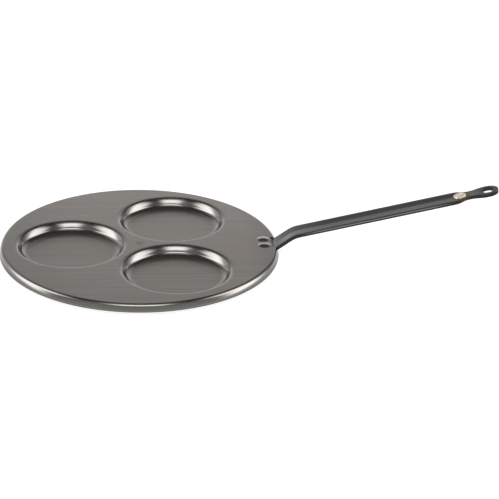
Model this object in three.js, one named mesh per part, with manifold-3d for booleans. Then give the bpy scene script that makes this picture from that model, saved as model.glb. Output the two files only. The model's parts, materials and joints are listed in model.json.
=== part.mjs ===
// Blini pan: a pressed steel plate with three shallow wells and a riveted strip handle.
// Units are millimetres and +Z is up. The origin is the middle of the plate's flat top face,
// between the wells, and the handle runs along +X.

import * as THREE from 'three';
import { mergeVertices } from 'three/addons/utils/BufferGeometryUtils.js';
import Module from 'manifold-3d';

// Pressed sheet and its wells
const SHEET = 2.5; // thickness of the sheet
const WELL_COUNT = 3;
const WELL_FLOOR_RADIUS = 39.2; // flat part of a well's floor
const WELL_DEPTH = 8.6; // top face down to a well's floor
const WELL_DRAFT = THREE.MathUtils.degToRad(35); // lean of a well's wall
const FLOOR_FILLET = 12.8; // inside radius between floor and wall
const MOUTH_ROUND = 4.1; // radius of a well's rounded mouth
const WEB = 7.01; // flat between two neighbouring mouths
const MARGIN = 10.05; // flat between a mouth and the rim

// Turned-down rim and the notch that lets the handle out
const RIM_ROUND = 3.6; // outside radius of the turned edge
const RIM_FLARE = THREE.MathUtils.degToRad(16); // outward lean of the skirt below it
const RIM_HEIGHT = 7.2; // top face down to the skirt's outer edge
const NOTCH_DEPTH = 7; // from the plate's outer edge inwards
const NOTCH_CLEARANCE = 1; // between the strip and each side of the notch

// Handle strip
const STRIP_WIDTH = 21.4;
const STRIP_THICKNESS = 3.6;
const ROOT_BEND = 2.5; // inside radius where the strip turns up out of the notch
const BEND_CLEARANCE = 0.4; // notch edge to the start of that bend
const RISE_ANGLE = THREE.MathUtils.degToRad(36.3);
const RISE_LENGTH = 17.2; // straight stretch of the rise
const SHOULDER_BEND = 25.6; // inside radius where the rise turns into the bar
const BAR_ANGLE = THREE.MathUtils.degToRad(12.6);
const BAR_LENGTH = 198.4; // end of the shoulder bend to the tip
const NECK_WIDTH = 12;
const NECK_SETBACK = 30; // tip back to the narrowest point
const TAPER_LENGTH = 15; // full width down to the neck

// Hanging eye at the handle's tip
const EYE_HOLE_WIDTH = 11.4;
const EYE_HOLE_LENGTH = 12;
const EYE_RAIL = 3.6; // metal on each side of the hole
const EYE_END = 4.7; // metal between the hole and the tip

// Rivets, and the handle's pad that they hold under the plate
const RIVET_SPACING = 13.8;
const RIVET_SETBACK = 7.2; // notch edge back to the rivets
const RIVET_SHANK_RADIUS = 3;
const RIVET_HEAD_RADIUS = 6.35;
const RIVET_HEAD_HEIGHT = 1.6;
const RIVET_TAIL_RADIUS = 4.8;
const RIVET_TAIL_HEIGHT = 1.8;
const RIVET_CLEARANCE = 0.2; // shank to hole, all round
const PAD_EDGE = 9; // rivet's middle to the pad's side
const PAD_NOSE = 11; // rivets to the pad's inner end
const PAD_LAND = 1.5; // pad's outer end to the notch edge
const PAD_CORNER = 5;

// Plain round medallion let into the bar
const MEDALLION_RADIUS = 6.2;
const MEDALLION_STAND = 0.4; // height above the bar's face
const MEDALLION_EDGE = 0.2; // bevel round its face
const MEDALLION_RECESS = 0.8; // depth of its seat
const MEDALLION_STEM_RADIUS = 2;
const MEDALLION_GAP = 0.3; // to its seat and its stem hole
const MEDALLION_SETBACK = 38.2; // tip back to its middle

// Facets
const PLATE_SEGMENTS = 64;
const WELL_SEGMENTS = 40;
const ROUND_SEGMENTS = 24;
const ARC_STEPS = 3;
const OUTLINE_STEPS = 12;

// Sizes that follow from the ones above
const WELL_ROUNDS = MOUTH_ROUND + FLOOR_FILLET;
const WALL_DROP = WELL_DEPTH - WELL_ROUNDS * (1 - Math.sin(WELL_DRAFT));
const MOUTH_RADIUS =
  WELL_FLOOR_RADIUS + WELL_ROUNDS * Math.cos(WELL_DRAFT) + WALL_DROP * Math.tan(WELL_DRAFT);
const WELL_PITCH = (MOUTH_RADIUS + WEB / 2) / Math.sin(Math.PI / WELL_COUNT);
const FLAT_RADIUS = WELL_PITCH + MOUTH_RADIUS + MARGIN;
const SKIRT_DROP = RIM_HEIGHT - RIM_ROUND * (1 - Math.sin(RIM_FLARE));
const PLATE_RADIUS =
  FLAT_RADIUS + RIM_ROUND * Math.cos(RIM_FLARE) + SKIRT_DROP * Math.tan(RIM_FLARE);
const NOTCH_EDGE = PLATE_RADIUS - NOTCH_DEPTH;
const RIVET_X = NOTCH_EDGE - RIVET_SETBACK;
const EYE_WIDTH = EYE_HOLE_WIDTH + 2 * EYE_RAIL;
const EYE_SETBACK = EYE_END + EYE_HOLE_LENGTH / 2;
const CUT_REACH = PLATE_RADIUS; // long enough for any cutting tool to pass right through

// Stands up what is drawn with Y as its height, so that Y becomes +Z
const UPRIGHT = new THREE.Matrix4().makeBasis(
  new THREE.Vector3(1, 0, 0), new THREE.Vector3(0, 0, 1), new THREE.Vector3(0, -1, 0),
);

const wasm = await Module();
wasm.setup();

const steel = { metalness: 1, roughness: 0.35 };
const plateSteel = new THREE.MeshStandardMaterial({ color: 0x7f7c78, ...steel });
const handleSteel = new THREE.MeshStandardMaterial({ color: 0x55555a, ...steel });
const rivetSteel = new THREE.MeshStandardMaterial({ color: 0x8b8884, ...steel });
const copper = new THREE.MeshStandardMaterial({ color: 0xd8b48f, ...steel });

// Closed geometry to a solid that can be joined and cut
function toSolid(geometry) {
  geometry.deleteAttribute('normal');
  geometry.deleteAttribute('uv');
  const merged = mergeVertices(geometry);
  const index = merged.index.array;
  const corners = [];
  for (let i = 0; i < index.length; i += 3) {
    const [a, b, c] = index.slice(i, i + 3);
    if (a !== b && b !== c && c !== a) corners.push(a, b, c);
  }
  const vertProperties = new Float32Array(merged.attributes.position.array);
  const triVerts = new Uint32Array(corners);
  return new wasm.Manifold(new wasm.Mesh({ numProp: 3, vertProperties, triVerts }));
}

// Solid back to a named mesh
function toMesh(name, solid, material) {
  const { vertProperties, triVerts } = solid.getMesh();
  const geometry = new THREE.BufferGeometry();
  geometry.setAttribute('position', new THREE.BufferAttribute(vertProperties, 3));
  geometry.setIndex(new THREE.BufferAttribute(triVerts, 1));
  geometry.computeVertexNormals();
  const mesh = new THREE.Mesh(geometry, material);
  mesh.name = name;
  return mesh;
}

function arc(x, y, radius, start, end) {
  const clockwise = end < start;
  return new THREE.EllipseCurve(x, y, radius, radius, start, end, clockwise).getPoints(ARC_STEPS);
}

function pairs(points) {
  return points.map((point) => [point.x, point.y]);
}

// Turned piece about +Z, from a profile of radius and height that runs outwards along the top
// and back inwards along the underside
function turned(profile, segments) {
  const backwards = profile.map(([radius, height]) => new THREE.Vector2(radius, height)).reverse();
  return new THREE.LatheGeometry(backwards, segments).applyMatrix4(UPRIGHT);
}

// Ring of points, in plan, at one point of a turned piece's profile
function ring(piece, place) {
  const { points, segments } = piece.parameters;
  const { position } = piece.attributes;
  const offset = points.length - 1 - place;
  return Array.from({ length: segments }, (_, i) => {
    const vertex = i * points.length + offset;
    return new THREE.Vector2(position.getX(vertex), position.getY(vertex));
  });
}

// Upright cylinder through everything, at a place in plan
function roundCutter(x, y, radius, segments) {
  const cylinder = new THREE.CylinderGeometry(radius, radius, 2 * CUT_REACH, segments);
  return toSolid(cylinder.applyMatrix4(UPRIGHT).translate(x, y, 0));
}

function wellCentres() {
  const centres = [];
  for (let i = 0; i < WELL_COUNT; i += 1) {
    const bearing = (2 * i + 1) * (Math.PI / WELL_COUNT);
    centres.push([WELL_PITCH * Math.cos(bearing), WELL_PITCH * Math.sin(bearing)]);
  }
  return centres;
}

function rivetPlaces() {
  return { rivet_left: RIVET_SPACING / 2, rivet_right: -RIVET_SPACING / 2 };
}

// One face of a well, from its floor's middle out to its mouth, drop below the sheet's top face
function wellFace(drop) {
  const floorArc = arc(
    WELL_FLOOR_RADIUS, FLOOR_FILLET - WELL_DEPTH, FLOOR_FILLET + drop, -Math.PI / 2, -WELL_DRAFT,
  );
  const mouthArc = arc(
    MOUTH_RADIUS, -MOUTH_ROUND, MOUTH_ROUND - drop, Math.PI - WELL_DRAFT, Math.PI / 2,
  );
  return [[0, -WELL_DEPTH - drop], ...pairs(floorArc), ...pairs(mouthArc)];
}

// One face of the rim, from the flat out and down to its lower edge
function rimFace(drop) {
  const rimArc = arc(FLAT_RADIUS, -RIM_ROUND, RIM_ROUND - drop, Math.PI / 2, RIM_FLARE);
  const edgeX = PLATE_RADIUS - drop * Math.cos(RIM_FLARE);
  const edgeY = -RIM_HEIGHT - drop * Math.sin(RIM_FLARE);
  return [...pairs(rimArc), [edgeX, edgeY]];
}

// One well as a shallow cup, from its floor out to the upright ring where it meets the flat
function wellCup([x, y]) {
  return turned([...wellFace(0), ...wellFace(SHEET).reverse()], WELL_SEGMENTS).translate(x, y, 0);
}

// The turned edge as a ring that closes where it meets the flat
function rimRing() {
  const top = rimFace(0);
  return turned([...top, ...rimFace(SHEET).reverse(), top[0]], PLATE_SEGMENTS);
}

// The flat between the rim and the wells, drawn through the points where it meets them
function flatSheet(rim, cups) {
  const mouth = wellFace(0).length - 1;
  const flat = new THREE.Shape(ring(rim, 0));
  flat.holes = cups.map((cup) => new THREE.Path(ring(cup, mouth)));
  const options = { depth: SHEET, bevelEnabled: false };
  return new THREE.ExtrudeGeometry(flat, options).translate(0, 0, -SHEET);
}

function panPlate() {
  const rim = rimRing();
  const cups = wellCentres().map(wellCup);
  let plate = toSolid(flatSheet(rim, cups));
  for (const pressed of [rim, ...cups]) {
    plate = plate.add(toSolid(pressed));
  }
  for (const y of Object.values(rivetPlaces())) {
    plate = plate.subtract(rivetHole(y));
  }
  const notch = new THREE.BoxGeometry(CUT_REACH, STRIP_WIDTH + 2 * NOTCH_CLEARANCE, CUT_REACH);
  return plate.subtract(toSolid(notch.translate(NOTCH_EDGE + CUT_REACH / 2, 0, 0)));
}

function rivetHole(y) {
  return roundCutter(RIVET_X, y, RIVET_SHANK_RADIUS + RIVET_CLEARANCE, ROUND_SEGMENTS);
}

// Rivet about its own axis, with its head's underside at height zero
function rivetGeometry() {
  const tailTop = -SHEET - STRIP_THICKNESS;
  const domeRadius = (RIVET_HEAD_RADIUS ** 2 / RIVET_HEAD_HEIGHT + RIVET_HEAD_HEIGHT) / 2;
  const domeEdge = Math.acos(RIVET_HEAD_RADIUS / domeRadius);
  const dome = arc(0, RIVET_HEAD_HEIGHT - domeRadius, domeRadius, Math.PI / 2, domeEdge);
  return turned([
    ...pairs(dome),
    [RIVET_SHANK_RADIUS, 0],
    [RIVET_SHANK_RADIUS, tailTop],
    [RIVET_TAIL_RADIUS, tailTop],
    [RIVET_SHANK_RADIUS, tailTop - RIVET_TAIL_HEIGHT],
    [0, tailTop - RIVET_TAIL_HEIGHT],
  ], ROUND_SEGMENTS);
}

// Flat outline pushed both ways, far past everything
function blade(outline) {
  const options = { depth: 2 * CUT_REACH, bevelEnabled: false, curveSegments: OUTLINE_STEPS };
  return new THREE.ExtrudeGeometry(outline, options).translate(0, 0, -CUT_REACH);
}

// Places along the strip, seen from its side as X and Z
function stripStations() {
  const bendX = NOTCH_EDGE + BEND_CLEARANCE;
  const rootCentre = new THREE.Vector2(bendX, ROOT_BEND - SHEET);
  const rise = new THREE.Vector2(Math.cos(RISE_ANGLE), Math.sin(RISE_ANGLE));
  const riseDown = new THREE.Vector2(rise.y, -rise.x);
  const bar = new THREE.Vector2(Math.cos(BAR_ANGLE), Math.sin(BAR_ANGLE));
  const barDown = new THREE.Vector2(bar.y, -bar.x);
  const outside = SHOULDER_BEND + STRIP_THICKNESS;
  const shoulderCentre = rootCentre.clone()
    .addScaledVector(riseDown, ROOT_BEND + outside)
    .addScaledVector(rise, RISE_LENGTH);
  const barStart = shoulderCentre.clone().addScaledVector(barDown, -outside);
  const tip = barStart.clone().addScaledVector(bar, BAR_LENGTH);
  return { rootCentre, shoulderCentre, outside, barStart, barDown, tip };
}

// The bent strip, drawn from its side and far wider than the handle
function stripSide(stations) {
  const { rootCentre, shoulderCentre, outside, barDown, tip } = stations;
  const quarter = Math.PI / 2;
  const noseX = RIVET_X - PAD_NOSE;
  const tipBelow = tip.clone().addScaledVector(barDown, STRIP_THICKNESS);
  const side = new THREE.Shape();
  side.moveTo(noseX, -SHEET);
  side.absarc(rootCentre.x, rootCentre.y, ROOT_BEND, -quarter, RISE_ANGLE - quarter, false);
  side.absarc(
    shoulderCentre.x, shoulderCentre.y, outside, RISE_ANGLE + quarter, BAR_ANGLE + quarter, true,
  );
  side.lineTo(tip.x, tip.y);
  side.lineTo(tipBelow.x, tipBelow.y);
  side.absarc(
    shoulderCentre.x, shoulderCentre.y, SHOULDER_BEND, BAR_ANGLE + quarter, RISE_ANGLE + quarter, false,
  );
  side.absarc(
    rootCentre.x, rootCentre.y, ROOT_BEND + STRIP_THICKNESS, RISE_ANGLE - quarter, -quarter, true,
  );
  side.lineTo(noseX, -SHEET - STRIP_THICKNESS);
  side.closePath();
  return toSolid(blade(side).applyMatrix4(UPRIGHT));
}

// Pad that lies under the plate, in plan
function padOutline() {
  const halfWidth = RIVET_SPACING / 2 + PAD_EDGE;
  const low = new THREE.Vector2(RIVET_X - PAD_NOSE, -halfWidth);
  const high = new THREE.Vector2(NOTCH_EDGE - PAD_LAND, halfWidth);
  const turn = Math.PI / 2;
  const outline = new THREE.Shape();
  outline.absarc(low.x + PAD_CORNER, low.y + PAD_CORNER, PAD_CORNER, 2 * turn, 3 * turn, false);
  outline.absarc(high.x - PAD_CORNER, low.y + PAD_CORNER, PAD_CORNER, 3 * turn, 4 * turn, false);
  outline.absarc(high.x - PAD_CORNER, high.y - PAD_CORNER, PAD_CORNER, 0, turn, false);
  outline.absarc(low.x + PAD_CORNER, high.y - PAD_CORNER, PAD_CORNER, turn, 2 * turn, false);
  outline.closePath();
  return outline;
}

// Straight strip from the pad to just past the shoulder bend, in plan
function runOutline(stations) {
  const half = STRIP_WIDTH / 2;
  const start = RIVET_X;
  const end = stations.barStart.x + STRIP_THICKNESS;
  return new THREE.Shape([
    new THREE.Vector2(start, -half),
    new THREE.Vector2(end, -half),
    new THREE.Vector2(end, half),
    new THREE.Vector2(start, half),
  ]);
}

// Bar, neck and eye, along and across the bar from its start
function barOutline() {
  const full = STRIP_WIDTH / 2;
  const neck = NECK_WIDTH / 2;
  const eye = EYE_WIDTH / 2;
  const neckX = BAR_LENGTH - NECK_SETBACK;
  const taperX = neckX - TAPER_LENGTH;
  const eyeX = BAR_LENGTH - EYE_SETBACK;
  const taperMiddle = (taperX + neckX) / 2;
  const swellMiddle = (neckX + eyeX) / 2;
  const outline = new THREE.Shape();
  outline.moveTo(0, -full);
  outline.lineTo(taperX, -full);
  outline.bezierCurveTo(taperMiddle, -full, taperMiddle, -neck, neckX, -neck);
  outline.bezierCurveTo(swellMiddle, -neck, swellMiddle, -eye, eyeX, -eye);
  outline.absellipse(eyeX, 0, EYE_SETBACK, eye, -Math.PI / 2, Math.PI / 2, false, 0);
  outline.bezierCurveTo(swellMiddle, eye, swellMiddle, neck, neckX, neck);
  outline.bezierCurveTo(taperMiddle, neck, taperMiddle, full, taperX, full);
  outline.lineTo(0, full);
  outline.closePath();
  const hole = new THREE.Path();
  hole.absellipse(eyeX, 0, EYE_HOLE_LENGTH / 2, EYE_HOLE_WIDTH / 2, 0, 2 * Math.PI, true, 0);
  outline.holes.push(hole);
  return outline;
}

// Frame of the bar's top face, with X along the bar from the shoulder bend
function barFrame({ barStart }) {
  return new THREE.Matrix4().makeRotationY(-BAR_ANGLE).setPosition(barStart.x, 0, barStart.y);
}

// Medallion about its own axis, with the bar's top face at height zero and room left by gap
function medallionBody(gap) {
  const radius = MEDALLION_RADIUS + gap;
  const stem = MEDALLION_STEM_RADIUS + gap;
  const seat = MEDALLION_GAP - MEDALLION_RECESS - gap;
  return turned([
    [0, MEDALLION_STAND],
    [radius - MEDALLION_EDGE, MEDALLION_STAND],
    [radius, MEDALLION_STAND - MEDALLION_EDGE],
    [radius, seat],
    [stem, seat],
    [stem, -STRIP_THICKNESS - gap],
    [0, -STRIP_THICKNESS - gap],
  ], ROUND_SEGMENTS).translate(BAR_LENGTH - MEDALLION_SETBACK, 0, 0);
}

function handle(stations) {
  const plan = toSolid(blade(padOutline()))
    .add(toSolid(blade(runOutline(stations))))
    .add(toSolid(blade(barOutline()).applyMatrix4(barFrame(stations))));
  let strip = stripSide(stations).intersect(plan);
  for (const y of Object.values(rivetPlaces())) {
    strip = strip.subtract(rivetHole(y));
  }
  return strip.subtract(toSolid(medallionBody(MEDALLION_GAP).applyMatrix4(barFrame(stations))));
}

const stations = stripStations();
const pan = new THREE.Group();
pan.add(toMesh('pan_plate', panPlate(), plateSteel));
pan.add(toMesh('handle', handle(stations), handleSteel));

for (const [name, y] of Object.entries(rivetPlaces())) {
  const rivet = new THREE.Mesh(rivetGeometry(), rivetSteel);
  rivet.name = name;
  rivet.position.set(RIVET_X, y, 0);
  pan.add(rivet);
}

const medallion = new THREE.Mesh(medallionBody(0), copper);
medallion.name = 'medallion';
const bar = new THREE.Group();
bar.applyMatrix4(barFrame(stations));
bar.add(medallion);
pan.add(bar);

export default pan;
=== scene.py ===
"""Looks of a blini pan: a pressed steel plate with three wells and a riveted strip handle."""

import json
import math

import bmesh
import bpy
from mathutils import Matrix, Vector


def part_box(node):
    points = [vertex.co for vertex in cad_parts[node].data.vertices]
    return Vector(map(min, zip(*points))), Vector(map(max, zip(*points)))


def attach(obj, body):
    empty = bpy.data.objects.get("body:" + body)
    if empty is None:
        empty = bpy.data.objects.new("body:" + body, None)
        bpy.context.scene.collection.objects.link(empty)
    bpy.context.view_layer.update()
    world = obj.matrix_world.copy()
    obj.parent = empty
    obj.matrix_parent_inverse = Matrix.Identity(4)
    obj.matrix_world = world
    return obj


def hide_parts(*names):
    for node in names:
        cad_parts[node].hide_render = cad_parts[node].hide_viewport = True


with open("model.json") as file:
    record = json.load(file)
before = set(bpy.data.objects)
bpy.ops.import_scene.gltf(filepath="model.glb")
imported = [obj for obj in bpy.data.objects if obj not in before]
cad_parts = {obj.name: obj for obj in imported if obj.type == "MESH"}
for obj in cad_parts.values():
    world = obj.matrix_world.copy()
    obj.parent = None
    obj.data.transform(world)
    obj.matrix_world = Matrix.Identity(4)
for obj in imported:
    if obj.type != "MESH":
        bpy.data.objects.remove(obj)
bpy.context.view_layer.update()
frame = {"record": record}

# Sizes are in millimetres, and each finished mesh is scaled to metres
MM = 0.001

# Points nearer than this count as one
TOUCH = 0.001

# Pressed sheet and its wells, with the radii of a well's arcs from its mouth down
SHEET = 2.5
MOUTH_EASE = 11
MOUTH_ROUND = 4.1
WALL_BOW = 15
FOOT_ROUND = 3.5
WELL_TILTS = (15, 42, 61.5, 35)  # degrees from level where those arcs end
WELL_MARGIN = 10.05
RIM_ROUND = 3.6
RIM_FLARE = math.radians(16)  # lean of the skirt as a whole
RIM_TILTS = (63.5, 83.5)  # degrees from level at the skirt's top and foot
RIM_HEIGHT = 7.2
NOTCH_DEPTH = 7
NOTCH_CLEARANCE = 0.5
SHEET_EDGE = 0.35
FLAT_BORDER = 0.8

# Handle strip
STRIP_WIDTH = 21.4
STRIP_THICKNESS = 3.6
STRIP_EDGE = 1.4
STRIP_DISH = 0.7  # depth of the hollow along the bar's middle
DISH_SHAPE = 1.25  # power that shapes the hollow's section
EDGE_ROLL = 0.2  # drop of the bar's edges
EDGE_ROLL_START = 0.72  # share of the half width
ROOT_BEND = 2.5
BEND_CLEARANCE = 0.4
RISE_ANGLE = math.radians(36.3)
RISE_LENGTH = 17.2
SHOULDER_BEND = 25.6
BAR_ANGLE = math.radians(12.6)
BAR_LENGTH = 198.4
NECK_WIDTH = 12
NECK_SETBACK = 30
TAPER_LENGTH = 15
PAD_CORNER = 5
PAD_LAND = 1.5

# Hanging eye
EYE_HOLE_WIDTH = 11.4
EYE_HOLE_LENGTH = 12
EYE_RAIL = 3.6
EYE_END = 4.7
HOLE_SHARE = 0.45  # share of the swell from neck to eye at which the hole begins

# Rivets and medallion
RIVET_SHANK_RADIUS = 3
RIVET_TAIL_RADIUS = 4.8
RIVET_EDGE = 0.25
MEDALLION_RADIUS = 6.2
MEDALLION_STAND = 0.3
MEDALLION_SEAT = 0.5
MEDALLION_RING = 1.1
MEDALLION_DIP = 0.15
MEDALLION_EDGE = 0.2
MEDALLION_SETBACK = 38.2
STEM_RADIUS = 2.4
STEM_STAND = 0.3

# Colours in linear light
PLATE_DARK = (0.197, 0.187, 0.17)
PLATE_PALE = (0.253, 0.241, 0.22)
PLATE_PATCH = (0.232, 0.2, 0.18)
# painted shade: the plate's flat darkens towards its left and right ends
PLATE_END_SHADE = (0.17, 0.163, 0.149)
PLATE_SMUDGE = (0.14, 0.11, 0.098)
PLATE_DRAWN = (0.222, 0.217, 0.212)
# painted shade: the skirt's colour and the tint of its grazing reflections are darkened
PLATE_SKIRT_SHADE = (0.15, 0.143, 0.132)
PLATE_GLANCE = (1, 1, 1)
SKIRT_GLANCE_SHADE = (0.65, 0.65, 0.65)  # tint of grazing reflections on the skirt
BAR_DARK = (0.047, 0.046, 0.044)
BAR_PALE = (0.067, 0.065, 0.062)
# painted sheen: the strip's steel painted paler on the rise
RISE_SHEEN_DARK = (0.098, 0.096, 0.092)
RISE_SHEEN_PALE = (0.131, 0.128, 0.122)
# painted sheen at the handle's neck
NECK_SHEEN = (0.108, 0.109, 0.112)
# painted shade on the strip's sides and edge rounds
BAR_SIDE_SHADE = (0.03, 0.03, 0.031)
BAR_GLINT = (0.18, 0.177, 0.172)
HEAT_BROWN = (0.085, 0.055, 0.03)
ROOT_BROWN = (0.16, 0.132, 0.116)
RIVET_DARK = (0.31, 0.298, 0.284)
RIVET_PALE = (0.39, 0.377, 0.36)
# painted shade round the rivets' edges
RIVET_EDGE_SHADE = (0.05, 0.047, 0.043)
COPPER_DARK = (0.74, 0.585, 0.455)
COPPER_PALE = (1.0, 0.95, 0.84)
FLOOR_PALE = (0.8, 0.8, 0.8)

# Roughness, from the dark streaks of a finish to its pale ones, and where it is polished
PLATE_SATIN = (0.36, 0.28)
PLATE_POLISH = 0.15
STRIP_SATIN = (0.36, 0.26)
STRIP_POLISH = 0.18
RIVET_SATIN = (0.22, 0.15)
COPPER_SATIN = (0.45, 0.3)

# Ranges of the streaks' noise
GRAIN = (0.3, 0.7)
PATCHES = (0.42, 0.66)
MOTTLE = (0.4, 0.6)
MOTTLE_SATIN = (0.35, 0.65)

# How far a surface faces up, 1 when level and 0 on a wall, where a finish starts and where it is full
DRAWN_LEAN = (0.985, 0.9)
SKIRT_SHADE_LEAN = (0.45, 0.15)
SIDE_SHADE_LEAN = (0.72, 0.58)
POLISH_LEAN = (0.92, 0.8)
UPPER_LEAN = (-0.3, 0.0)
RIVET_SHADE_LEAN = (0.84, 0.74)

# Distances at which a mark in a finish starts and is full
SMUDGE_REACH = (6, 2)
NECK_SHEEN_REACH = (15, 4)
HEAT_REACH = (12, 6.5)
ROOT_REACH = (5, 2)
GLINT_FADE = 0.3
GLINT_BAND = (0.55, 0.33)  # shares of the thickness below the top face, lower edge first
# spans of the painted shade towards the plate's left and right ends
END_SHADE_SPANS = ((-1 / 3, -1, 0.6), (0.7, 1, 0.8))  # start and end in plate radii, and strength

# Strength of the other marks, and the depth of the streaks in metres
PATCH_SHARE = 0.65
SMUDGE_SHARE = 0.55
DRAWN_SHARE = 0.6
FINE_SHARE = 0.4
ROOT_METAL = 0.15
PLATE_BUMP = 0.06
STRIP_BUMP = 0.08
BUMP_DEPTH = 0.0002

# Fineness of the meshes
ROUND_STEPS = 64
WELL_STEPS = 144
RIM_STEPS = 288
ARC_STEPS = 12
CORNER_STEPS = 6
HALF_ROWS = 12
STRIP_STEPS = (2, 8, 4, 14, 10)  # between the bends, from the pad to the taper
TAPER_STEPS = 14
SWELL_STEPS = 8
EYE_STEPS = 12
TIP_STEPS = 16

# Sizes read from the frame
plate_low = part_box("pan_plate")[0] / MM
handle_low, handle_high = [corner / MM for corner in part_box("handle")]
PLATE_RADIUS = -plate_low.x
WELL_DEPTH = -plate_low.z - SHEET
SKIRT_DROP = RIM_HEIGHT - RIM_ROUND * (1 - math.sin(RIM_FLARE))
FLAT_RADIUS = PLATE_RADIUS - RIM_ROUND * math.cos(RIM_FLARE) - SKIRT_DROP * math.tan(RIM_FLARE)
NOTCH_EDGE = PLATE_RADIUS - NOTCH_DEPTH
NOTCH_HALF = STRIP_WIDTH / 2 + NOTCH_CLEARANCE
WELL_CENTRES = [
    Vector(mount["pos_m"]) / MM
    for mount in frame["record"]["mounts"]
    if mount["name"].startswith("foot")
]
MOUTH_RADIUS = FLAT_RADIUS - WELL_MARGIN - WELL_CENTRES[0].xy.length
PAD_HALF = handle_high.y

# The strip from the pad's inner end to the tip, as lengths of its top face and slopes at their ends
BEND_X = NOTCH_EDGE + BEND_CLEARANCE
PAD_RUN = BEND_X - handle_low.x
ROOT_RUN = ROOT_BEND * RISE_ANGLE
SHOULDER_RUN = (SHOULDER_BEND + STRIP_THICKNESS) * (RISE_ANGLE - BAR_ANGLE)
STRIP_BENDS = [
    (PAD_RUN, 0, 0),
    (ROOT_RUN, 0, RISE_ANGLE),
    (RISE_LENGTH, RISE_ANGLE, RISE_ANGLE),
    (SHOULDER_RUN, RISE_ANGLE, BAR_ANGLE),
    (BAR_LENGTH, BAR_ANGLE, BAR_ANGLE),
]
BAR_RUN = PAD_RUN + ROOT_RUN + RISE_LENGTH + SHOULDER_RUN
TIP_RUN = BAR_RUN + BAR_LENGTH
NECK_RUN = TIP_RUN - NECK_SETBACK
TAPER_RUN = NECK_RUN - TAPER_LENGTH
EYE_RUN = TIP_RUN - EYE_END - EYE_HOLE_LENGTH / 2
MEDALLION_RUN = TIP_RUN - MEDALLION_SETBACK

# Camera, fitted to the plate's outline and the wells
VIEW_AIM = Vector((105.586, -17.131, 0)) * MM
VIEW_DISTANCE = 1778.07 * MM
VIEW_ELEVATION = math.radians(24.945)
VIEW_AZIMUTH = math.radians(-5.438)
VIEW_ROLL = math.radians(1.839)
VIEW_LENS = 132.573
VIEW_SENSOR = 36

# Studio: levels of light, the elevations between which the hood dims, and sizes in metres
FILL_LEVEL = 0.5
FLOOR_GLOW = 0.9
FLOOR_SHADE = 0.36
HOOD_LEVEL = 0.1
HOOD_LOW_LEVEL = 0.4
HOOD_FADE = (math.radians(6), math.radians(30))
PANEL_SOFTNESS = 0.45
HOOD_RADIUS = 3.0
FLOOR_SIZE = 20

# Soft panels: bearing from the camera, elevation, half width, half height and tilt in degrees, and level
PANELS = {
    "front": (4, 57, 16, 14, 0, 3.5),
    "front_wide": (-4, 55, 30, 14, 0, 0.4),
    "front_spill": (0, 16, 75, 22, 0, 0.35),
    "top": (0, 88, 14, 5, 0, 1.0),
    "left": (-92, 30, 18, 22, -15, 3.3),
    "right": (94, 29, 18, 22, 12, 3.3),
    "left_low": (-95, 4, 22, 9, 0, 1.8),
    "right_low": (95, 4, 22, 9, 0, 1.8),
    "left_back": (-113, 24, 21, 20, -10, 0.9),
    "right_back": (110, 24, 18, 19, 10, 0.8),
    "back": (-178, 16, 27, 18, 0, 0.8),
}


# Mesh helpers

def arc(centre_x, centre_z, radius, start, end, steps=ARC_STEPS):
    """Points of a round stretch of a profile, angles in degrees."""
    angles = [math.radians(start + (end - start) * i / steps) for i in range(steps + 1)]
    return [(centre_x + radius * math.cos(a), centre_z + radius * math.sin(a)) for a in angles]


def turn(bm, profile, steps, centre=(0, 0, 0)):
    """Spins a profile of radius and height a full turn about an upright axis."""
    verts = [bm.verts.new(Vector((radius, 0, height)) + Vector(centre)) for radius, height in profile]
    edges = [bm.edges.new(pair) for pair in zip(verts, verts[1:])]
    bmesh.ops.spin(
        bm, geom=verts + edges, cent=centre, axis=(0, 0, 1), angle=math.tau, steps=steps, use_merge=True
    )


def merge_and_face_out(bm):
    bmesh.ops.remove_doubles(bm, verts=bm.verts, dist=TOUCH)
    bmesh.ops.recalc_face_normals(bm, faces=bm.faces)


def face_sheet_up(bm):
    """Turns an open sheet over if its faces look down, so that its thickness goes below."""
    if sum(face.normal.z * face.calc_area() for face in bm.faces) < 0:
        bmesh.ops.reverse_faces(bm, faces=bm.faces)


def add_object(bm, name, material):
    """Turns a mesh in metres into an object of the scene."""
    mesh = bpy.data.meshes.new(name)
    bm.to_mesh(mesh)
    bm.free()
    mesh.materials.append(material)
    added = bpy.data.objects.new(name, mesh)
    bpy.context.scene.collection.objects.link(added)
    return added


def finish_piece(bm, name, material):
    """Turns a mesh in millimetres into a piece that rides on the pan and stands for its CAD node."""
    bmesh.ops.scale(bm, vec=(MM, MM, MM), verts=bm.verts)
    piece = add_object(bm, name + "_look", material)
    piece.data.shade_smooth()
    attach(piece, "root")
    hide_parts(name)
    return piece


def soften_edges(piece, width, steps, sharpest=40):
    """Rounds the edges that turn by more than an angle in degrees."""
    soften = piece.modifiers.new("softened_edges", "BEVEL")
    soften.width = width * MM
    soften.segments = steps
    soften.limit_method = "ANGLE"
    soften.angle_limit = math.radians(sharpest)
    soften.harden_normals = True


def thicken(piece, thickness, edge_round, edge_steps=3):
    """Gives a sheet its thickness below the modelled face, and softens its cut edges."""
    wall = piece.modifiers.new("sheet_thickness", "SOLIDIFY")
    wall.thickness = thickness * MM
    wall.offset = -1
    wall.use_even_offset = True
    soften_edges(piece, edge_round, edge_steps)


# Pressed plate

def press_in(points, radius, start, end):
    """Carries a profile on, to lower X and down, along an arc on which its tilt goes from start to end."""
    side = 1 if end > start else -1
    first_x, first_z = points[-1]
    for i in range(ARC_STEPS):
        tilt = math.radians(start + (end - start) * (i + 1) / ARC_STEPS)
        inwards = math.sin(tilt) - math.sin(math.radians(start))
        down = math.cos(math.radians(start)) - math.cos(tilt)
        points.append((first_x - side * radius * inwards, first_z - side * radius * down))


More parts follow.
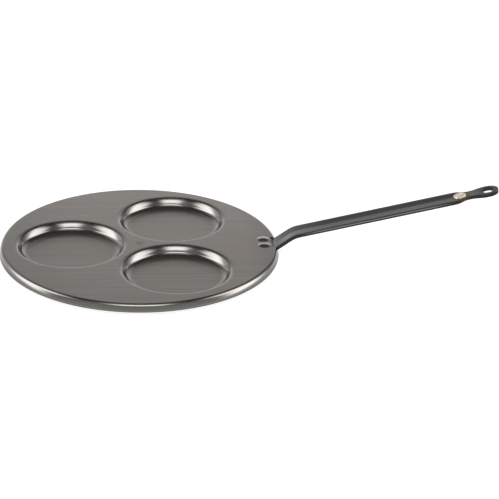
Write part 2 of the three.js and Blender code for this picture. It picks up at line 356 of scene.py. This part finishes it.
def well_profile():
    """A well's top face, from its floor out to the flat just past its mouth."""
    eased, shoulder, steepest, foot = WELL_TILTS
    edge = MOUTH_RADIUS + (MOUTH_EASE - MOUTH_ROUND) * math.sin(math.radians(eased))
    points = [(edge + FLAT_BORDER, 0), (edge, 0)]
    press_in(points, MOUTH_EASE, 0, eased)
    press_in(points, MOUTH_ROUND, eased, shoulder)
    press_in(points, WALL_BOW, shoulder, steepest)
    press_in(points, FOOT_ROUND, steepest, foot)
    sweep = (WELL_DEPTH + points[-1][1]) / (1 - math.cos(math.radians(foot)))
    press_in(points, sweep, foot, 0)
    floor_radius = points[-1][0]
    points.append((floor_radius - FLAT_BORDER, -WELL_DEPTH))
    return points[::-1]


def rim_profile():
    """The turned-down rim's top face, from the flat out over its round and down its bowed skirt."""
    shoulder, foot = RIM_TILTS
    points = [(FLAT_BORDER - FLAT_RADIUS, 0), (-FLAT_RADIUS, 0)]
    press_in(points, RIM_ROUND, 0, shoulder)
    bow = (RIM_HEIGHT + points[-1][1]) / (math.cos(math.radians(shoulder)) - math.cos(math.radians(foot)))
    press_in(points, bow, shoulder, foot)
    return [(-across, height) for across, height in points]


def fill_well_floors(bm):
    floor_edges = [
        edge for edge in bm.edges
        if edge.is_boundary and all(vert.co.z < TOUCH - WELL_DEPTH for vert in edge.verts)
    ]
    bmesh.ops.edgeloop_fill(bm, edges=floor_edges)


def fill_flat(bm):
    flat_edges = [
        edge for edge in bm.edges
        if edge.is_boundary and all(abs(vert.co.z) < TOUCH for vert in edge.verts)
    ]
    bmesh.ops.triangle_fill(bm, edges=flat_edges, use_beauty=True, normal=(0, 0, 1))


def cut_notch(bm):
    """Cuts away the rim where the handle comes out."""
    cuts = [((NOTCH_EDGE, 0, 0), (1, 0, 0))]
    cuts += [((0, side * NOTCH_HALF, 0), (0, 1, 0)) for side in (-1, 1)]
    for place, across in cuts:
        near = [
            face for face in bm.faces
            if any(v.co.x > NOTCH_EDGE - 2 * NOTCH_HALF and abs(v.co.y) < 3 * NOTCH_HALF for v in face.verts)
        ]
        edges = {edge for face in near for edge in face.edges}
        verts = {vert for face in near for vert in face.verts}
        bmesh.ops.bisect_plane(
            bm, geom=near + list(edges) + list(verts), dist=TOUCH, plane_co=place, plane_no=across
        )
    inside = [
        face for face in bm.faces
        if face.calc_center_median().x > NOTCH_EDGE and abs(face.calc_center_median().y) < NOTCH_HALF
    ]
    bmesh.ops.delete(bm, geom=inside, context="FACES")


def make_plate(material):
    bm = bmesh.new()
    for centre in WELL_CENTRES:
        turn(bm, well_profile(), WELL_STEPS, (centre.x, centre.y, 0))
    turn(bm, rim_profile(), RIM_STEPS)
    fill_well_floors(bm)
    fill_flat(bm)
    cut_notch(bm)
    merge_and_face_out(bm)
    face_sheet_up(bm)
    plate = finish_piece(bm, "pan_plate", material)
    thicken(plate, SHEET, SHEET_EDGE)


# Handle

def strip_station(run):
    """Place of the strip's top face, as X and Z, and its slope, at a run from the pad's inner end."""
    place = Vector((handle_low.x, -SHEET))
    slope = 0
    for length, start, end in STRIP_BENDS:
        step = min(run, length)
        slope = start + (end - start) * step / length
        if start == end:
            place += step * Vector((math.cos(start), math.sin(start)))
        else:
            turned = Vector((math.sin(slope) - math.sin(start), math.cos(start) - math.cos(slope)))
            place += length / (end - start) * turned
        run -= step
        if run <= 0:
            break
    return place, slope


def bend_to_shape(point):
    """Carries a point of the flat blank, as run, width and height, to its place on the bent strip."""
    place, slope = strip_station(point.x)
    return Vector((
        place.x - point.z * math.sin(slope), point.y, place.y + point.z * math.cos(slope)
    ))


def ease(share):
    share = min(max(share, 0), 1)
    return share * share * (3 - 2 * share)


def swept(start, end, steps):
    return [start + (end - start) * i / steps for i in range(steps)]


def s_curve(run_start, run_end, half_start, half_end, share):
    """A point of an edge that flows from one half width to another."""
    middle = (run_start + run_end) / 2
    rest = 1 - share
    run = (
        run_start * rest ** 3 + 3 * middle * share * rest * (rest + share) + run_end * share ** 3
    )
    return run, half_start + (half_end - half_start) * ease(share)


def pad_columns():
    """Middle and edge points of the pad that lies under the plate, with its round corners."""
    pad_end = NOTCH_EDGE - PAD_LAND - handle_low.x
    inner = arc(PAD_CORNER, PAD_HALF - PAD_CORNER, PAD_CORNER, 180, 90, CORNER_STEPS)
    outer = arc(pad_end - PAD_CORNER, PAD_HALF - PAD_CORNER, PAD_CORNER, 90, 0, CORNER_STEPS)
    return [((run, 0), (run, half)) for run, half in inner + outer]


def strip_columns():
    """Middle and edge points from the pad to the start of the taper."""
    half = STRIP_WIDTH / 2
    start = NOTCH_EDGE - PAD_LAND / 2 - handle_low.x
    bends = (start, PAD_RUN, PAD_RUN + ROOT_RUN, PAD_RUN + ROOT_RUN + RISE_LENGTH, BAR_RUN, TAPER_RUN)
    stretches = zip(bends, bends[1:], STRIP_STEPS)
    runs = [run for begin, end, steps in stretches for run in swept(begin, end, steps)]
    return [((run, 0), (run, half)) for run in runs]


def eye_columns():
    """Middle and edge points from the taper through the neck and round the hanging eye."""
    full, neck = STRIP_WIDTH / 2, NECK_WIDTH / 2
    eye = EYE_HOLE_WIDTH / 2 + EYE_RAIL
    hole_start = EYE_RUN - EYE_HOLE_LENGTH / 2
    columns = []
    for share in swept(0, 1, TAPER_STEPS):
        run, half = s_curve(TAPER_RUN, NECK_RUN, full, neck, share)
        columns.append(((run, 0), (run, half)))
    for share in swept(0, HOLE_SHARE, SWELL_STEPS):
        run, half = s_curve(NECK_RUN, EYE_RUN, neck, eye, share)
        middle = NECK_RUN + (hole_start - NECK_RUN) * share / HOLE_SHARE
        columns.append(((middle, 0), (run, half)))
    for share in swept(0, 1, EYE_STEPS):
        turn_angle = math.pi * (1 - share / 2)
        columns.append((hole_point(turn_angle), s_curve(
            NECK_RUN, EYE_RUN, neck, eye, HOLE_SHARE + (1 - HOLE_SHARE) * share
        )))
    for share in swept(0, 1, TIP_STEPS) + [1]:
        turn_angle = math.pi / 2 * (1 - share)
        outer = (
            EYE_RUN + (TIP_RUN - EYE_RUN) * math.cos(turn_angle), eye * math.sin(turn_angle)
        )
        columns.append((hole_point(turn_angle), outer))
    return columns


def hole_point(angle):
    return (
        EYE_RUN + EYE_HOLE_LENGTH / 2 * math.cos(angle), EYE_HOLE_WIDTH / 2 * math.sin(angle)
    )


def dish_depth(run, width):
    """How far the bar's face is hollowed along its middle and rolled down along its edges."""
    begins = ease((run - PAD_RUN - ROOT_RUN) / RISE_LENGTH)
    ends = 1 - ease((run - TAPER_RUN) / (NECK_RUN - TAPER_RUN))
    across = min(abs(width) / (STRIP_WIDTH / 2), 1)
    hollow = STRIP_DISH * (1 - across ** DISH_SHAPE)
    rolled = EDGE_ROLL * (max(across - EDGE_ROLL_START, 0) / (1 - EDGE_ROLL_START)) ** 2
    return (hollow + rolled) * begins * ends


def make_handle(material):
    """Lays out half of the flat blank, mirrors it, hollows it and bends it to shape."""
    columns = pad_columns() + strip_columns() + eye_columns()
    bm = bmesh.new()
    bmesh.ops.create_grid(bm, x_segments=len(columns) - 1, y_segments=HALF_ROWS, size=0.5)
    for vert in bm.verts:
        column = round((vert.co.x + 0.5) * (len(columns) - 1))
        row = vert.co.y + 0.5
        middle, edge = [Vector(point) for point in columns[column]]
        run, width = middle.lerp(edge, row)
        vert.co = (run, width, 0)
    bmesh.ops.mirror(bm, geom=bm.verts[:] + bm.edges[:] + bm.faces[:], axis="Y", merge_dist=TOUCH)
    for vert in bm.verts:
        vert.co.z = -dish_depth(vert.co.x, vert.co.y)
        vert.co = bend_to_shape(vert.co)
    merge_and_face_out(bm)
    face_sheet_up(bm)
    handle = finish_piece(bm, "handle", material)
    thicken(handle, STRIP_THICKNESS, STRIP_EDGE, 4)


# Rivets and medallion

def dome(radius, height, base, steps=ARC_STEPS):
    """Profile of a low dome, from its top on the axis out to its edge."""
    bulge = (radius ** 2 / height + height) / 2
    edge = math.degrees(math.acos(radius / bulge))
    return arc(0, base + height - bulge, bulge, 90, edge, steps)


def make_rivet(name, material):
    low, high = [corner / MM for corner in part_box(name)]
    centre = (low + high) / 2
    head_radius = (high.x - low.x) / 2
    tail_top = -SHEET - STRIP_THICKNESS
    tail = [(radius, 2 * tail_top - height) for radius, height in dome(
        RIVET_TAIL_RADIUS, tail_top - low.z, tail_top
    )]
    profile = [
        *dome(head_radius, high.z, 0),
        (RIVET_SHANK_RADIUS, 0),
        (RIVET_SHANK_RADIUS, tail_top),
        *reversed(tail),
    ]
    bm = bmesh.new()
    turn(bm, profile, ROUND_STEPS, (centre.x, centre.y, 0))
    merge_and_face_out(bm)
    rivet = finish_piece(bm, name, material)
    soften_edges(rivet, RIVET_EDGE, 3)


def make_medallion(material):
    """A plain disc with a raised ring round its face, let into the bar, with its stem's end below."""
    inner = MEDALLION_RADIUS - MEDALLION_RING
    dip = MEDALLION_STAND - MEDALLION_DIP
    profile = [
        (0, dip + MEDALLION_DIP / 2),
        (inner / 2, dip + MEDALLION_DIP / 3),
        (inner - MEDALLION_EDGE, dip),
        (inner, dip),
        (inner + MEDALLION_EDGE, MEDALLION_STAND),
        (MEDALLION_RADIUS - MEDALLION_EDGE, MEDALLION_STAND),
        (MEDALLION_RADIUS, MEDALLION_STAND - MEDALLION_EDGE),
        (MEDALLION_RADIUS, -MEDALLION_SEAT),
        (STEM_RADIUS, -MEDALLION_SEAT),
        (STEM_RADIUS, -STRIP_THICKNESS),
        (STEM_RADIUS - STEM_STAND, -STRIP_THICKNESS - STEM_STAND),
        (0, -STRIP_THICKNESS - STEM_STAND),
    ]
    bm = bmesh.new()
    turn(bm, profile, ROUND_STEPS)
    merge_and_face_out(bm)
    place, slope = strip_station(MEDALLION_RUN)
    onto_bar = Matrix.Translation((place.x, 0, place.y)) @ Matrix.Rotation(-slope, 4, "Y")
    bmesh.ops.transform(bm, matrix=onto_bar, verts=bm.verts)
    medallion = finish_piece(bm, "medallion", material)
    soften_edges(medallion, MEDALLION_EDGE / 3, 2, 30)


# Finishes

def new_finish(name):
    material = bpy.data.materials.new(name)
    material.use_nodes = True
    tree = material.node_tree
    return material, tree, tree.nodes["Principled BSDF"]


def add_node(tree, kind, settings=None, **inputs):
    """A node with its settings, and its inputs set to values or linked from other nodes' outputs."""
    node = tree.nodes.new(kind)
    for key, value in (settings or {}).items():
        setattr(node, key, value)
    for key, value in inputs.items():
        socket = node.inputs[int(key[1:])] if key[0] == "_" else node.inputs[key]
        if isinstance(value, bpy.types.NodeSocket):
            tree.links.new(value, socket)
        else:
            socket.default_value = value
    return node


def object_place(tree):
    return add_node(tree, "ShaderNodeTexCoord").outputs["Object"]


def streaks(tree, place, along, across, detail=4.0):
    """Fine marks that run lengthwise, from counts per metre along and across the pan."""
    stretched = add_node(tree, "ShaderNodeMapping", Vector=place, Scale=(along, across, along))
    noise = add_node(
        tree, "ShaderNodeTexNoise", Vector=stretched.outputs[0], Scale=1.0, Detail=detail, Roughness=0.6
    )
    return noise.outputs["Fac"]


def ramp(tree, value, low, high, to_low=0.0, to_high=1.0, smooth=False):
    settings = {"interpolation_type": "SMOOTHSTEP"} if smooth else None
    node = add_node(
        tree, "ShaderNodeMapRange", settings, _0=value, _1=low, _2=high, _3=to_low, _4=to_high
    )
    return node.outputs[0]


def fade_in(tree, value, reach, share=1.0):
    """A mark that starts at the first distance, in millimetres, and is full at the second."""
    return ramp(tree, value, reach[0] * MM, reach[1] * MM, 0.0, share, smooth=True)


def opaque(colour):
    return (*colour, 1.0)


def blend_colours(tree, share, first, second):
    """Mixes two colours, each of them three values or another node's output."""
    pair = [
        colour if isinstance(colour, bpy.types.NodeSocket) else opaque(colour) for colour in (first, second)
    ]
    node = add_node(tree, "ShaderNodeMix", {"data_type": "RGBA"}, _0=share, _6=pair[0], _7=pair[1])
    return node.outputs[2]


def blend_values(tree, share, first, second):
    node = add_node(tree, "ShaderNodeMix", None, _0=share, _2=first, _3=second)
    return node.outputs[0]


def calculate(tree, operation, first, second=0.5):
    node = add_node(tree, "ShaderNodeMath", {"operation": operation}, _0=first, _1=second)
    return node.outputs[0]


def measure(tree, operation, first, second=(0, 0, 0)):
    """A length, distance or product of vectors."""
    node = add_node(tree, "ShaderNodeVectorMath", {"operation": operation}, _0=first, _1=second)
    return node.outputs["Value"]


def part_of(tree, vector, axis):
    return add_node(tree, "ShaderNodeSeparateXYZ", None, _0=vector).outputs[axis]


def facing_up(tree):
    """How far a surface faces up: 1 on a level face, 0 on a wall and -1 underneath."""
    normal = add_node(tree, "ShaderNodeNewGeometry").outputs["Normal"]
    return part_of(tree, normal, "Z")


def add_bump(tree, shader, marks, strength):
    bump = add_node(tree, "ShaderNodeBump", Strength=strength, Distance=BUMP_DEPTH, Height=marks)
    tree.links.new(bump.outputs[0], shader.inputs["Normal"])


def plate_finish():
    """Bare brushed steel, polished where it was drawn over the press tool, with a smudge in its middle, and
    painted shade towards its left and right ends and on the skirt.
    """
    material, tree, shader = new_finish("brushed_plate_steel")
    place = object_place(tree)
    broad = streaks(tree, place, 5, 240)
    fine = streaks(tree, place, 14, 1600, 2.0)
    patches = streaks(tree, place, 14, 22, 3.0)
    marks = blend_values(tree, FINE_SHARE, broad, fine)
    steel = blend_colours(tree, ramp(tree, marks, *GRAIN), PLATE_DARK, PLATE_PALE)
    steel = blend_colours(tree, ramp(tree, patches, *PATCHES, 0, PATCH_SHARE), steel, PLATE_PATCH)
    along = part_of(tree, place, "X")
    # painted shade, darker towards the plate's left and right ends along X
    for start, end, share in END_SHADE_SPANS:
        end_shade = fade_in(tree, along, (start * PLATE_RADIUS, end * PLATE_RADIUS), share)
        steel = blend_colours(tree, end_shade, steel, PLATE_END_SHADE)
    smudge = fade_in(tree, measure(tree, "LENGTH", place), SMUDGE_REACH, SMUDGE_SHARE)
    steel = blend_colours(tree, smudge, steel, PLATE_SMUDGE)
    lean = facing_up(tree)
    drawn = ramp(tree, lean, *DRAWN_LEAN, smooth=True)
    steel = blend_colours(tree, ramp(tree, drawn, 0, 1, 0, DRAWN_SHARE), steel, PLATE_DRAWN)
    # painted shade on the skirt: a darker base colour and dimmer grazing reflections
    skirt = ramp(tree, lean, *SKIRT_SHADE_LEAN, smooth=True)
    steel = blend_colours(tree, skirt, steel, PLATE_SKIRT_SHADE)
    shaded_glance = blend_colours(tree, skirt, PLATE_GLANCE, SKIRT_GLANCE_SHADE)
    polish = blend_values(tree, drawn, ramp(tree, marks, *GRAIN, *PLATE_SATIN), PLATE_POLISH)
    tree.links.new(steel, shader.inputs["Base Color"])
    tree.links.new(polish, shader.inputs["Roughness"])
    tree.links.new(shaded_glance, shader.inputs["Specular Tint"])
    shader.inputs["Metallic"].default_value = 1.0
    add_bump(tree, shader, marks, PLATE_BUMP)
    return material


def distance_from(tree, place, run):
    """Distance from the middle of the strip's top face at a run along it."""
    spot = strip_station(run)[0]
    return measure(tree, "DISTANCE", place, Vector((spot.x, 0, spot.y)) * MM)


def bar_side_glint(tree, place, along, side):
    """1 on a pale line along the middle of the bar's sides, 0 on the rest of the strip."""
    start, slope = strip_station(BAR_RUN)
    end = strip_station(TAPER_RUN)[0]
    upwards = Vector((-math.sin(slope), 0, math.cos(slope)))
    height = measure(tree, "DOT_PRODUCT", place, upwards)
    top = Vector((start.x, 0, start.y)).dot(upwards)
    low, high = [(top - share * STRIP_THICKNESS) * MM for share in GLINT_BAND]
    fade = GLINT_FADE * MM
    glint = side
    for value, nought, full in (
        (height, low - fade, low),
        (height, high + fade, high),
        (along, start.x * MM, (start.x + STRIP_WIDTH) * MM),
        (along, end.x * MM, (end.x - STRIP_WIDTH) * MM),
    ):
        glint = calculate(tree, "MULTIPLY", glint, ramp(tree, value, nought, full))
    return glint


def handle_finish():
    """Dark satin strip steel, browned at its root, with a painted sheen that makes it paler on the rise and
    at the neck, painted shade and a painted glint on its sides, heat-tinted round the medallion.
    """
    material, tree, shader = new_finish("dark_strip_steel")
    place = object_place(tree)
    along = part_of(tree, place, "X")
    lean = facing_up(tree)
    marks = streaks(tree, place, 9, 700)
    grain = ramp(tree, marks, *GRAIN)
    dark = blend_colours(tree, grain, BAR_DARK, BAR_PALE)
    # painted sheen on the rise, fading into the bar's darker steel along the bar
    pale = blend_colours(tree, grain, RISE_SHEEN_DARK, RISE_SHEEN_PALE)
    rise_end = strip_station(PAD_RUN + ROOT_RUN + RISE_LENGTH)[0]
    rise_sheen_fade = fade_in(tree, along, (rise_end.x, rise_end.x + 2 * STRIP_WIDTH))
    steel = blend_colours(tree, rise_sheen_fade, pale, dark)
    # painted sheen round the neck
    neck = fade_in(tree, distance_from(tree, place, NECK_RUN), NECK_SHEEN_REACH)
    steel = blend_colours(tree, neck, steel, NECK_SHEEN)
    # painted shade on the strip's steep sides and edge rounds
    side = ramp(tree, lean, *SIDE_SHADE_LEAN, smooth=True)
    steel = blend_colours(tree, side, steel, BAR_SIDE_SHADE)
    glint = bar_side_glint(tree, place, along, side)
    steel = blend_colours(tree, glint, steel, BAR_GLINT)
    tint = fade_in(tree, distance_from(tree, place, MEDALLION_RUN), HEAT_REACH)
    tint = blend_values(tree, ramp(tree, lean, *UPPER_LEAN), 0.0, tint)
    steel = blend_colours(tree, tint, steel, HEAT_BROWN)
    root = fade_in(tree, along, [BEND_X + reach for reach in ROOT_REACH])
    steel = blend_colours(tree, root, steel, ROOT_BROWN)
    satin = ramp(tree, marks, *GRAIN, *STRIP_SATIN)
    satin = blend_values(tree, ramp(tree, lean, *POLISH_LEAN), satin, STRIP_POLISH)
    tree.links.new(steel, shader.inputs["Base Color"])
    tree.links.new(satin, shader.inputs["Roughness"])
    tree.links.new(ramp(tree, root, 0, 1, 1.0, ROOT_METAL), shader.inputs["Metallic"])
    add_bump(tree, shader, marks, STRIP_BUMP)
    return material


def rivet_finish():
    """Smooth headed steel with faint tool marks, and painted shade round its edge."""
    material, tree, shader = new_finish("headed_rivet_steel")
    marks = streaks(tree, object_place(tree), 260, 260)
    steel = blend_colours(tree, ramp(tree, marks, *GRAIN), RIVET_DARK, RIVET_PALE)
    # painted shade round the rivet's steep edge
    edge = ramp(tree, facing_up(tree), *RIVET_SHADE_LEAN, smooth=True)
    steel = blend_colours(tree, edge, steel, RIVET_EDGE_SHADE)
    tree.links.new(steel, shader.inputs["Base Color"])
    tree.links.new(ramp(tree, marks, *GRAIN, *RIVET_SATIN), shader.inputs["Roughness"])
    shader.inputs["Metallic"].default_value = 1.0
    return material


def medallion_finish():
    """Pale copper, mottled with tarnish."""
    material, tree, shader = new_finish("pale_copper")
    mottle = streaks(tree, object_place(tree), 520, 520)
    copper = blend_colours(tree, ramp(tree, mottle, *MOTTLE), COPPER_DARK, COPPER_PALE)
    tree.links.new(copper, shader.inputs["Base Color"])
    tree.links.new(ramp(tree, mottle, *MOTTLE_SATIN, *COPPER_SATIN), shader.inputs["Roughness"])
    shader.inputs["Metallic"].default_value = 1.0
    return material


# Studio

def seen_directly(tree):
    """1 for rays from the camera and for mirror and clear rays, 0 for the rest."""
    path = add_node(tree, "ShaderNodeLightPath")
    rays = [path.outputs[name] for name in ("Is Camera Ray", "Is Glossy Ray", "Is Transmission Ray")]
    return calculate(tree, "MAXIMUM", calculate(tree, "MAXIMUM", rays[0], rays[1]), rays[2])


def make_world():
    world = bpy.data.worlds.new("studio")
    world.use_nodes = True
    bpy.context.scene.world = world
    tree = world.node_tree
    background = tree.nodes["Background"]
    background.inputs["Color"].default_value = (1, 1, 1, 1)
    level = ramp(tree, seen_directly(tree), 0, 1, FILL_LEVEL, 1.0)
    tree.links.new(level, background.inputs["Strength"])


def studio_finish(name):
    """A material with no nodes but its output, and that output's surface."""
    material, tree = new_finish(name)[:2]
    tree.nodes.clear()
    output = add_node(tree, "ShaderNodeOutputMaterial")
    return material, tree, output.inputs["Surface"]


def floor_finish():
    """Pale floor that looks white where no shadow falls, and can be seen through from below."""
    material, tree, surface = studio_finish("pale_floor")
    plain = add_node(tree, "ShaderNodeBsdfDiffuse", Color=opaque(FLOOR_PALE))
    shaded = add_node(tree, "ShaderNodeBsdfDiffuse", Color=opaque((FLOOR_SHADE,) * 3))
    glow = add_node(tree, "ShaderNodeEmission", Strength=FLOOR_GLOW)
    white = add_node(tree, "ShaderNodeAddShader", None, _0=shaded.outputs[0], _1=glow.outputs[0])
    top = add_node(
        tree, "ShaderNodeMixShader", None, _0=seen_directly(tree), _1=plain.outputs[0], _2=white.outputs[0]
    )
    clear = add_node(tree, "ShaderNodeBsdfTransparent")
    below = add_node(tree, "ShaderNodeNewGeometry").outputs["Backfacing"]
    whole = add_node(tree, "ShaderNodeMixShader", None, _0=below, _1=top.outputs[0], _2=clear.outputs[0])
    tree.links.new(whole.outputs[0], surface)
    return material


def make_floor():
    bm = bmesh.new()
    bmesh.ops.create_grid(bm, x_segments=1, y_segments=1, size=FLOOR_SIZE)
    bmesh.ops.translate(bm, vec=(0, 0, plate_low.z * MM), verts=bm.verts)
    floor = add_object(bm, "floor", floor_finish())


def panel_light(tree, direction, bearing, elevation, half_width, half_height, tilt, level):
    """Brightness of one soft-edged panel of light, seen from the pan in a direction."""
    turned = Matrix.Rotation(VIEW_AZIMUTH + math.radians(bearing), 3, "Z")
    turned = turned @ Matrix.Rotation(math.pi / 2 - math.radians(elevation), 3, "X")
    turned = turned @ Matrix.Rotation(math.radians(tilt), 3, "Z")
    share = level
    for axis, half in ((0, half_width), (1, half_height)):
        off = calculate(tree, "ABSOLUTE", measure(tree, "DOT_PRODUCT", direction, turned.col[axis]))
        edge = math.sin(math.radians(half))
        inside = ramp(tree, off, edge * (1 + PANEL_SOFTNESS), edge * (1 - PANEL_SOFTNESS), smooth=True)
        share = calculate(tree, "MULTIPLY", share, inside)
    ahead = calculate(tree, "GREATER_THAN", measure(tree, "DOT_PRODUCT", direction, turned.col[2]), 0.0)
    return calculate(tree, "MULTIPLY", share, ahead)


def hood_finish():
    """Dim all over, with the studio's soft panels."""
    material, tree, surface = studio_finish("studio_hood")
    spot = add_node(tree, "ShaderNodeNewGeometry").outputs["Position"]
    direction = add_node(tree, "ShaderNodeVectorMath", {"operation": "NORMALIZE"}, _0=spot).outputs["Vector"]
    low, high = [math.sin(elevation) for elevation in HOOD_FADE]
    level = ramp(tree, part_of(tree, direction, "Z"), low, high, HOOD_LOW_LEVEL, HOOD_LEVEL, smooth=True)
    for panel in PANELS.values():
        level = calculate(tree, "ADD", level, panel_light(tree, direction, *panel))
    glow = add_node(tree, "ShaderNodeEmission", Strength=level)
    tree.links.new(glow.outputs[0], surface)
    return material


def make_hood():
    """Hood over the pan that only the metal's reflections see."""
    bm = bmesh.new()
    bmesh.ops.create_uvsphere(bm, u_segments=ROUND_STEPS, v_segments=ROUND_STEPS // 2, radius=HOOD_RADIUS)
    bmesh.ops.bisect_plane(
        bm, geom=bm.verts[:] + bm.edges[:] + bm.faces[:], plane_co=(0, 0, 0), plane_no=(0, 0, 1),
        clear_inner=True,
    )
    hood = add_object(bm, "hood", hood_finish())
    hood.visible_camera = False
    hood.visible_diffuse = False
    hood.visible_transmission = False
    hood.visible_shadow = False


def make_softbox(name, bearing, elevation, distance, width, height, level):
    """Area lamp turned to the pan, at a bearing from the camera's side and an elevation in degrees."""
    light = bpy.data.lights.new(name, "AREA")
    light.shape = "RECTANGLE"
    light.size = width
    light.size_y = height
    light.energy = level * math.pi * width * height
    lamp = bpy.data.objects.new(name, light)
    bpy.context.scene.collection.objects.link(lamp)
    turn_round = Matrix.Rotation(VIEW_AZIMUTH + math.radians(bearing), 4, "Z")
    tip_up = Matrix.Rotation(math.pi / 2 - math.radians(elevation), 4, "X")
    lamp.matrix_world = turn_round @ tip_up @ Matrix.Translation((0, 0, distance))
    lamp.visible_camera = False
    lamp.visible_glossy = False


def make_camera():
    camera = bpy.data.cameras.new("camera")
    camera.lens = VIEW_LENS
    camera.sensor_width = VIEW_SENSOR
    view = bpy.data.objects.new("camera", camera)
    bpy.context.scene.collection.objects.link(view)
    view.matrix_world = (
        Matrix.Translation(VIEW_AIM)
        @ Matrix.Rotation(VIEW_AZIMUTH, 4, "Z")
        @ Matrix.Rotation(math.pi / 2 - VIEW_ELEVATION, 4, "X")
        @ Matrix.Rotation(VIEW_ROLL, 4, "Z")
        @ Matrix.Translation((0, 0, VIEW_DISTANCE))
    )
    bpy.context.scene.camera = view


make_camera()
make_plate(plate_finish())
make_handle(handle_finish())
rivet_steel = rivet_finish()
for rivet_name in ("rivet_left", "rivet_right"):
    make_rivet(rivet_name, rivet_steel)
make_medallion(medallion_finish())
make_world()
make_floor()
make_hood()
make_softbox("key_softbox", bearing=2, elevation=62, distance=1.5, width=1.5, height=1.2, level=1.6)
bpy.context.scene.view_settings.view_transform = "Standard"
